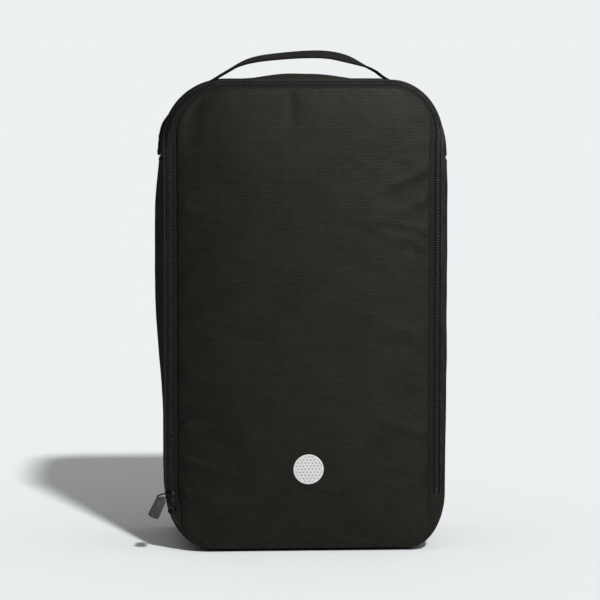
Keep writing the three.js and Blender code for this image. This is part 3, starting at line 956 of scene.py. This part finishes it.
def build_zip():
    fold_right, fold_left = side_s(1, FOLD_Z), side_s(-1, FOLD_Z)
    end_right, end_left = side_s(1, ZIP_END_Z), side_s(-1, ZIP_END_Z)
    tape_right, tape_left = side_s(1, TAPE_END_RIGHT), side_s(-1, TAPE_END_LEFT)
    tape_s = np.linspace(tape_right, tape_left, 560)
    case_tape(tape_s)
    door_tape(tape_s)
    coil("zip_coil_case", end_right, end_left, -1, 0.0, "case", ["zip_chain_body"])
    coil("zip_coil_door", fold_right, fold_left, 1, 0.5, "flap", ["zip_chain_flap"])
    coil("zip_end_coil_right", end_right, fold_right, 1, 0.5, "case", [])
    coil("zip_end_coil_left", fold_left, end_left, 1, 0.5, "case", [])
    cord_s = np.linspace(end_right, end_left, 900)
    edge_cord("coil_cord_case", cord_s, CORD_OUT, CORD_RISE, CORD_RADIUS, "case", twist=0.1 * MM)
    door_s = np.linspace(fold_right + 0.3 * MM, fold_left - 0.3 * MM, 860)
    edge_cord("coil_cord_door", door_s, -CORD_OUT, CORD_RISE, CORD_RADIUS, "flap", twist=0.1 * MM)
    pipe_s = np.linspace(tape_right - 1 * MM, tape_left + 1 * MM, 620)
    edge_cord("edge_piping", pipe_s, 4.0 * MM, -0.2 * MM, 0.5 * MM, "case", PIPING)
    build_side_facing()
    stitch_s = np.arange(tape_right, tape_left, STITCH_PITCH)
    edge_stitches("stitch_row_case", stitch_s, 3.3 * MM, -0.3 * MM, "case")


# inset and rise of the bottom corner patches in mm, and where each ends at its side
CORNER_PATCHES = (
    (1, "right", 43, ((0.6, 1.1), (1.0, 0.3), (1.8, -0.6), (3.2, -1.15), (5.0, -1.35), (8.0, -1.3), (10.6, -0.9),
                      (13.0, -0.2), (14.5, 0.4))),
    (-1, "left", 30.2, ((1.0, 1.1), (1.5, 0.45), (2.2, 0.05), (3.2, -0.25), (5.0, -0.35), (8.0, -0.3),
                        (11.0, -0.1), (13.0, 0.3))),
)


def build_corner_facings():
    """Cloth patches that carry the facing round the bottom corners and hide the zip's ends."""
    for side, name, end_z, profile in CORNER_PATCHES:
        s = np.linspace(*sorted((side_s(side, end_z * MM), side_s(side, BOTTOM_Z + 0.3 * MM))), 44)
        rows = []
        for inset, rise in profile:
            y = FRONT_Y + rise * MM
            ripple = 0.12 * MM * wobble(s, inset * MM, 0.006, 61)
            rows.append((loop_point(s, inset * MM, y + ripple), loop_point(s, inset * MM, y + FACING_THICK),
                         uv_row(s, inset * MM)))
        finish_piece(ribbon(f"corner_facing_{name}", rows), CLOTH, "case")


# ---- solid small parts

def curve(points, count, closed=False):
    """A smooth curve through points."""
    points = np.asarray(points, float)
    n = len(points)
    if closed:
        ext = np.concatenate([points[-1:], points, points[:2]])
        spans = n
    else:
        ext = np.concatenate([2 * points[:1] - points[1:2], points, 2 * points[-1:] - points[-2:-1]])
        spans = n - 1
    at = np.linspace(0, spans, count, endpoint=not closed)
    i = np.minimum(at.astype(int), spans - 1)
    f = (at - i)[:, None]
    p0, p1, p2, p3 = ext[i], ext[i + 1], ext[i + 2], ext[i + 3]
    bend, twist = 2 * p0 - 5 * p1 + 4 * p2 - p3, 3 * p1 - p0 - 3 * p2 + p3
    return 0.5 * (2 * p1 + (p2 - p0) * f + bend * f ** 2 + twist * f ** 3)


def joint_place(name):
    joint = next(joint for joint in frame["record"]["behaviour"]["joints"] if joint["name"] == name)
    return Vector(joint["pos_m"])


def placed(x, z, points):
    """Points (x, z) given in mm from a place."""
    return np.array((x, z)) + np.array(points) * MM


# half of the slider's outline, and the stud that holds the link as (radius, y), in mm
SLIDER_HALF = ((0.0, 0.0), (1.5, 0.15), (2.35, 1.3), (2.55, 4.0), (2.7, 7.5), (3.0, 10.5), (2.9, 12.6), (2.0, 14.0),
               (0.0, 14.5))
STUD = ((1.35, -64.1), (1.35, -64.55), (1.0, -64.7), (1.0, -66.7), (1.75, -66.75), (1.95, -66.95), (1.9, -67.25),
        (1.5, -67.5), (0.8, -67.66), (0.25, -67.7))


def build_slider():
    """Front plate with a raised middle, back plate, two walls and the neck between the plates."""
    low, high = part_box("slider")
    x = (low.x + high.x) / 2
    other_half = [(-a, b) for a, b in SLIDER_HALF[-2:0:-1]]
    outline = curve(placed(x, low.z, [*SLIDER_HALF, *other_half]), 48, closed=True)
    centre = outline.mean(0)
    part = Build()
    part.plate(outline, -64.15, -62.75, 0.45)
    part.plate(centre + (outline - centre) * 0.72, -64.45, -64.0, 0.25)
    part.plate(centre + (outline - centre) * (0.42, 0.9) + (1.4 * MM, 0), -59.3, -58.2, 0.3)
    for side in (-1, 1):
        wall = [(side * (2.6 + a), b) for a, b in ((-0.1, 2), (0.1, 2.2), (0.42, 9.5), (0.1, 10))]
        part.plate(curve(placed(x, low.z, wall), 16, closed=True), -63.2, -61.65, 0.15)
    neck = placed(x + 0.25 * MM, high.z, ((-0.2, -3.4), (0.2, -3.4), (0.3, -0.7), (-0.3, -0.7)))
    part.plate(curve(neck, 16, closed=True), -63.4, -58.7, 0.2)
    part.turned(joint_place("link_turn"), STUD)
    finish_piece(part.done("slider_metal"), METAL, "slider", ["slider"])


# the wire's outline from the stud, in mm
LINK_LOOP = ((-1.9, 1.3), (-5.8, 1.0), (-9.2, -0.1), (-10.1, -1.5), (-9.2, -2.32), (-6.8, -2.32), (-4.4, -2.32),
             (-2.6, -1.7), (-1.7, -0.9))


def build_link():
    """The bent wire: a ring round the stud and the loop that carries the tab."""
    stud, y = joint_place("link_turn"), joint_place("tab_swing").y
    part = Build()
    angle = np.linspace(0, 2 * math.pi, 28, endpoint=False)
    ring = placed(stud.x, stud.z, 1.75 * np.stack([np.cos(angle), np.sin(angle)], -1))
    loop = curve(placed(stud.x, stud.z, LINK_LOOP), 56, closed=True)
    for line, radius in ((ring, 0.58 * MM), (loop, 0.55 * MM)):
        part.tube(np.insert(line, 1, y, axis=1), radius, closed=True)
    finish_piece(part.done("pull_link_wire"), METAL, "link", ["pull_link"])


def build_tab():
    """The soft tab hangs from the wire, curled a little and folded along its middle."""
    hinge = joint_place("tab_swing")
    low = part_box("pull_tab")[0]
    end = np.array([low.x + 1.6 * MM, low.z + 5.5 * MM])
    start = np.array([hinge.x, hinge.z + 0.2 * MM])
    length = float(np.linalg.norm(end - start))
    down = (end - start) / length
    across = np.array([-down[1], down[0]])
    v, u = np.meshgrid(np.linspace(0, 1, 40), np.linspace(-1, 1, 17), indexing="ij")
    end_share = np.abs(2 * v - 1)
    rim_share = np.maximum(np.abs(u), end_share)
    wide = 4.3 * MM * (1 - np.maximum(0.0, (end_share - 0.8) / 0.2) ** 2.6 * 0.55) * (0.9 + 0.1 * v)
    flat = start + down * (length * v)[..., None] + across * (wide * u)[..., None]
    bow = -0.9 * np.sin(math.pi * v) + 1.3 * v ** 2 + 0.55 * u * u + 0.35 * u * v
    ridge = 0.28 * np.exp(-(u / 0.13) ** 2) * np.maximum(0.0, np.sin(math.pi * v)) ** 0.3
    rim = 0.22 * smooth(0.72, 0.86, rim_share)
    thin = 0.72 * (1 - 0.65 * np.maximum(0.0, (rim_share - 0.88) / 0.12) ** 2)
    y = hinge.y + bow * MM * 0.8
    front = np.stack([flat[..., 0], y - (thin + rim - ridge) * MM, flat[..., 1]], -1)
    back = np.stack([flat[..., 0], y + (thin + 0.5 * rim) * MM, flat[..., 1]], -1)
    strip_piece = shell("pull_tab_strip", front, back, plane_uv(front))
    roll = Build()
    half = 2.6 * MM
    reach = np.linspace(-half, half, 9)
    bulge = 1.3 * MM * (1 - 0.25 * (reach / half) ** 6)
    roll.tube([(hinge.x + a, hinge.y, hinge.z) for a in reach], bulge, 14)
    for piece in (strip_piece, roll.done("pull_tab_roll")):
        finish_piece(piece, RUBBER, "tab", ["pull_tab"])


def build_stops():
    for name, side in (("left", -1), ("right", 1)):
        low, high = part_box(f"zip_stop_{name}")
        inward = 3.0 * MM if side > 0 else 0.0
        x0, x1 = low.x + 0.2 * MM - inward, high.x - 0.2 * MM - inward
        part = Build()
        outline = curve([(x0, low.z), (x1, low.z), (x1, high.z), (x0, high.z)], 24, closed=True)
        part.plate(outline, FRONT_Y / MM - 1.1, FRONT_Y / MM + 0.6, 0.3)
        finish_piece(part.done(f"zip_stop_{name}_metal"), METAL, "case", [f"zip_stop_{name}"])


# ---- handle

# the free arch, as (x, z) in mm, and the steps up from the height where a leg starts
ARCH = ((-66, 355.0), (-57, 360.4), (-46, 366.4), (-33, 370.2), (-15, 372.4), (4, 373.7), (20, 373.4), (34, 370.6),
        (46, 366.3), (57, 361.0), (65, 355.4))
LEG_END = 297.6
LEG_STEPS = (0, 10, 22, 34, 43, 50)


def strap_path():
    """Length run along the strap, its middle line (x, z) and its direction, from the left end to the right end."""
    legs = []
    for side in (-1, 1):
        s = np.array([side_s(side, (LEG_END + step) * MM) for step in LEG_STEPS])
        legs.append(loop_point(s, -swell_at(s, 0.5) - 0.4 * MM, 0.0)[:, [0, 2]])
    line = curve(np.concatenate([legs[0], np.array(ARCH) * MM, legs[1][::-1]]), 260)
    run = np.concatenate([[0], np.cumsum(np.hypot(*np.diff(line, axis=0).T))])
    at = np.linspace(0, run[-1], 240)
    line = np.stack([np.interp(at, run, line[:, k]) for k in (0, 1)], -1)
    tangent = np.gradient(line, axis=0)
    tangent /= np.linalg.norm(tangent, axis=1, keepdims=True)
    return at, line, tangent


def build_handle():
    at, line, tangent = strap_path()
    up = smooth(363 * MM, 372 * MM, line[:, 1])
    roll = np.radians(10.5) * up * (1 + 0.25 * np.sin(line[:, 0] * 30))
    normal = np.stack([-tangent[:, 1], np.zeros(len(at)), tangent[:, 0]], -1)
    centre = np.stack([line[:, 0], -1.0 * MM * up, line[:, 1]], -1)
    cos, sin = np.cos(roll)[:, None], np.sin(roll)[:, None]
    across, face = sin * normal - cos * FRONT, cos * normal + sin * FRONT
    pinch = 1 - 0.14 * np.exp(-((np.abs(line[:, 0]) - 66 * MM) / (7 * MM)) ** 2) * (line[:, 1] > 340 * MM)
    rows = []
    for u in np.linspace(-1, 1, 15):
        thick = STRAP_THICK / 2 * (1 - 0.7 * max(0.0, (abs(u) - 0.86) / 0.14) ** 2)
        cup = 0.5 * MM * (1 - u * u) * up
        spot = centre + across * (u * STRAP_WIDE / 2 * pinch)[:, None] + face * cup[:, None]
        rows.append((spot + face * thick, spot - face * thick, uv_row(at, u * STRAP_WIDE / 2)))
    piece = ribbon("handle_webbing", rows)
    finish_piece(piece, WEBBING, None, ["handle_strap", "handle_end_left", "handle_end_right"])
    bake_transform(piece)
    build_bartacks(at, centre, across, face)


def build_bartacks(at, centre, across, face):
    """Close zigzag stitching that holds the strap's ends to the gussets."""
    part = Build()
    for middle in (2.2 * MM, 14 * MM, at[-1] - 14 * MM, at[-1] - 2.2 * MM):
        u = np.linspace(-0.9, 0.9, 46)
        along = middle + 1.1 * MM * np.where(np.arange(46) % 2, 1, -1)
        spot, side, out = (np.stack([np.interp(along, at, line[:, c]) for c in range(3)], -1)
                           for line in (centre, across, face))
        part.tube(spot + side * (u * STRAP_WIDE / 2)[:, None] + out * (STRAP_THICK / 2 + 0.12 * MM), 0.2 * MM, 6)
    finish_piece(part.done("strap_bartacks"), THREAD, "case")


# ---- emblem

def build_emblem(panel):
    """A white transfer print of a dimpled ball that follows the panel's surface."""
    low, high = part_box("emblem")
    cx, cz, radius = (low.x + high.x) / 2, (low.z + high.z) / 2, (high.x - low.x) / 2
    bm = bmesh.new()
    bm.from_mesh(panel.data)
    tree = BVHTree.FromBMesh(bm)
    bm.free()
    rings, spokes = 44, 110
    pitch, row_pitch = 2.75 * MM, 2.75 * MM * 0.866  # dimples in a triangular pattern
    front, back, dimple_shade = [], [], []
    for i in range(rings + 1):
        r = radius * math.sin(math.pi / 2 * (0.02 + 0.98 * i / rings))
        inside = 1 - float(smooth(0.86, 0.93, r / radius))
        for j in range(spokes):
            a = 2 * math.pi * j / spokes
            dx, dz = r * math.cos(a), r * math.sin(a)
            hit = tree.ray_cast(Vector((cx + dx, -0.2, cz + dz)), Vector((0, 1, 0)))[0]
            row = round(dz / row_pitch)
            near = 9.0
            for q in (row - 1, row, row + 1):
                off = 0.5 * (q % 2)
                near = min(near, math.hypot(dx - (round(dx / pitch - off) + off) * pitch, dz - q * row_pitch))
            pit = (1 - float(smooth(0.55 * MM, 1.12 * MM, near))) * inside
            rise = 0.62 * MM * (1 - 0.9 * (i / rings) ** 14) - 0.28 * MM * pit
            front.append((cx + dx, hit.y - rise, cz + dz))
            back.append((cx + dx, hit.y + 0.25 * MM, cz + dz))
            # the pit sinks the print and also darkens its colour there as painted shade
            dimple_shade.append(pit)
    count = len(front)
    rim = rings * spokes
    faces = grid_faces(rings + 1, spokes, True) + grid_faces(rings + 1, spokes, True, count, True)
    faces += [list(range(spokes)), list(range(count, count + spokes))[::-1]]
    for j in range(spokes):
        a, b = rim + j, rim + (j + 1) % spokes
        faces.append([a, b, count + b, count + a])
    piece = new_object("ball_emblem", front + back, faces)
    layer = piece.data.attributes.new("dimple_shade", "FLOAT", "POINT")
    layer.data.foreach_set("value", np.array(dimple_shade + [0.0] * count, np.float32))
    finish_piece(piece, PRINT, "flap", ["emblem"])


# ---- run

front_pad = build_front()
build_front_lining()
build_back()
build_gussets()
build_gusset_lining()
build_zip()
build_corner_facings()
build_slider()
build_link()
build_tab()
build_stops()
build_handle()
build_emblem(front_pad)

board = frame["nodes"]["base_board"]
board.data.materials.clear()
board.data.materials.append(BOARD)

# ---- floor, light and camera

def build_stage():
    """A wide floor and a dim studio sky, brighter above and to the right; the camera sees a plain backdrop."""
    mesh = bpy.data.meshes.new("floor")
    size = 60.0
    mesh.from_pydata([(-size, -size, 0), (size, -size, 0), (size, size, 0), (-size, size, 0)], [], [(0, 1, 2, 3)])
    floor = bpy.data.objects.new("floor", mesh)
    bpy.context.scene.collection.objects.link(floor)
    paint = Paint("floor_paint")
    shader = paint.tree.nodes["Principled BSDF"]
    shader.inputs["Base Color"].default_value = (0.80, 0.83, 0.84, 1)
    shader.inputs["Roughness"].default_value = 0.9
    shader.inputs["Specular IOR Level"].default_value = 0.0
    mesh.materials.append(paint.material)
    world = bpy.data.worlds.new("studio")
    bpy.context.scene.world = world
    world.use_nodes = True
    n = Nodes(world.node_tree)
    x, _, z = n.split(n.make("TexCoord", "Generated"))
    strength = n.math("MULTIPLY_ADD", x, SKY_SIDE, n.math("MULTIPLY_ADD", z, SKY_UP, SKY_LEVEL))
    fill = n.tree.nodes["Background"]
    fill.inputs["Color"].default_value = (1.0, 0.99, 0.97, 1)
    n.feed(fill.inputs["Strength"], n.math("MAXIMUM", strength, SKY_LEAST))
    seen = n.make("Background", 0, {"Color": (*BACKGROUND, 1)})
    mix = n.make("MixShader", 0, {0: n.make("LightPath", "Is Camera Ray"), 1: Value(n, fill.outputs[0]), 2: seen})
    n.feed(n.tree.nodes["World Output"].inputs[0], mix)
    return floor


# name, kind, power, disc size or sun angle, place, aim
LAMPS = (
    ("floor_key", "SUN", 3.31, math.radians(4), (0.31, -0.95, 0.87), (0, 0, 0)),
    ("bag_key", "AREA", 11.0, 0.5, (0.86, -1.00, 1.22), (0, 0, 0.2)),
    ("top_key", "AREA", 1.85, 0.3, (0.16, -0.22, 0.52), (0, -0.06, 0.34)),
    ("low_key", "AREA", 0.80, 0.3, (0.15, -0.36, 0.02), (0.02, -0.06, 0.05)),
)


def build_light(floor):
    """The sun lights only the floor and the discs light everything but the floor."""
    for name, kind, power, size, place, aim in LAMPS:
        data = bpy.data.lights.new(name, kind)
        data.energy = power
        if kind == "SUN":
            data.angle = size
        else:
            data.shape, data.size = "DISK", size
        obj = bpy.data.objects.new(name, data)
        obj.location = place
        obj.rotation_euler = (Vector(aim) - Vector(place)).to_track_quat("-Z", "Y").to_euler()
        bpy.context.scene.collection.objects.link(obj)
        group = bpy.data.collections.new(name + "_receivers")
        group.objects.link(floor)
        group.collection_objects[0].light_linking.link_state = "INCLUDE" if kind == "SUN" else "EXCLUDE"
        obj.light_linking.receiver_collection = group


def build_camera():
    data = bpy.data.cameras.new("camera")
    data.lens, data.sensor_width = 177, 36
    camera = bpy.data.objects.new("camera", data)
    camera.location = CAMERA_PLACE
    camera.rotation_euler = (math.pi / 2 - CAMERA_DOWN, 0, CAMERA_TURN)
    bpy.context.scene.collection.objects.link(camera)
    bpy.context.scene.camera = camera


build_light(build_stage())
build_camera()
bpy.context.scene.view_settings.view_transform = "Standard"
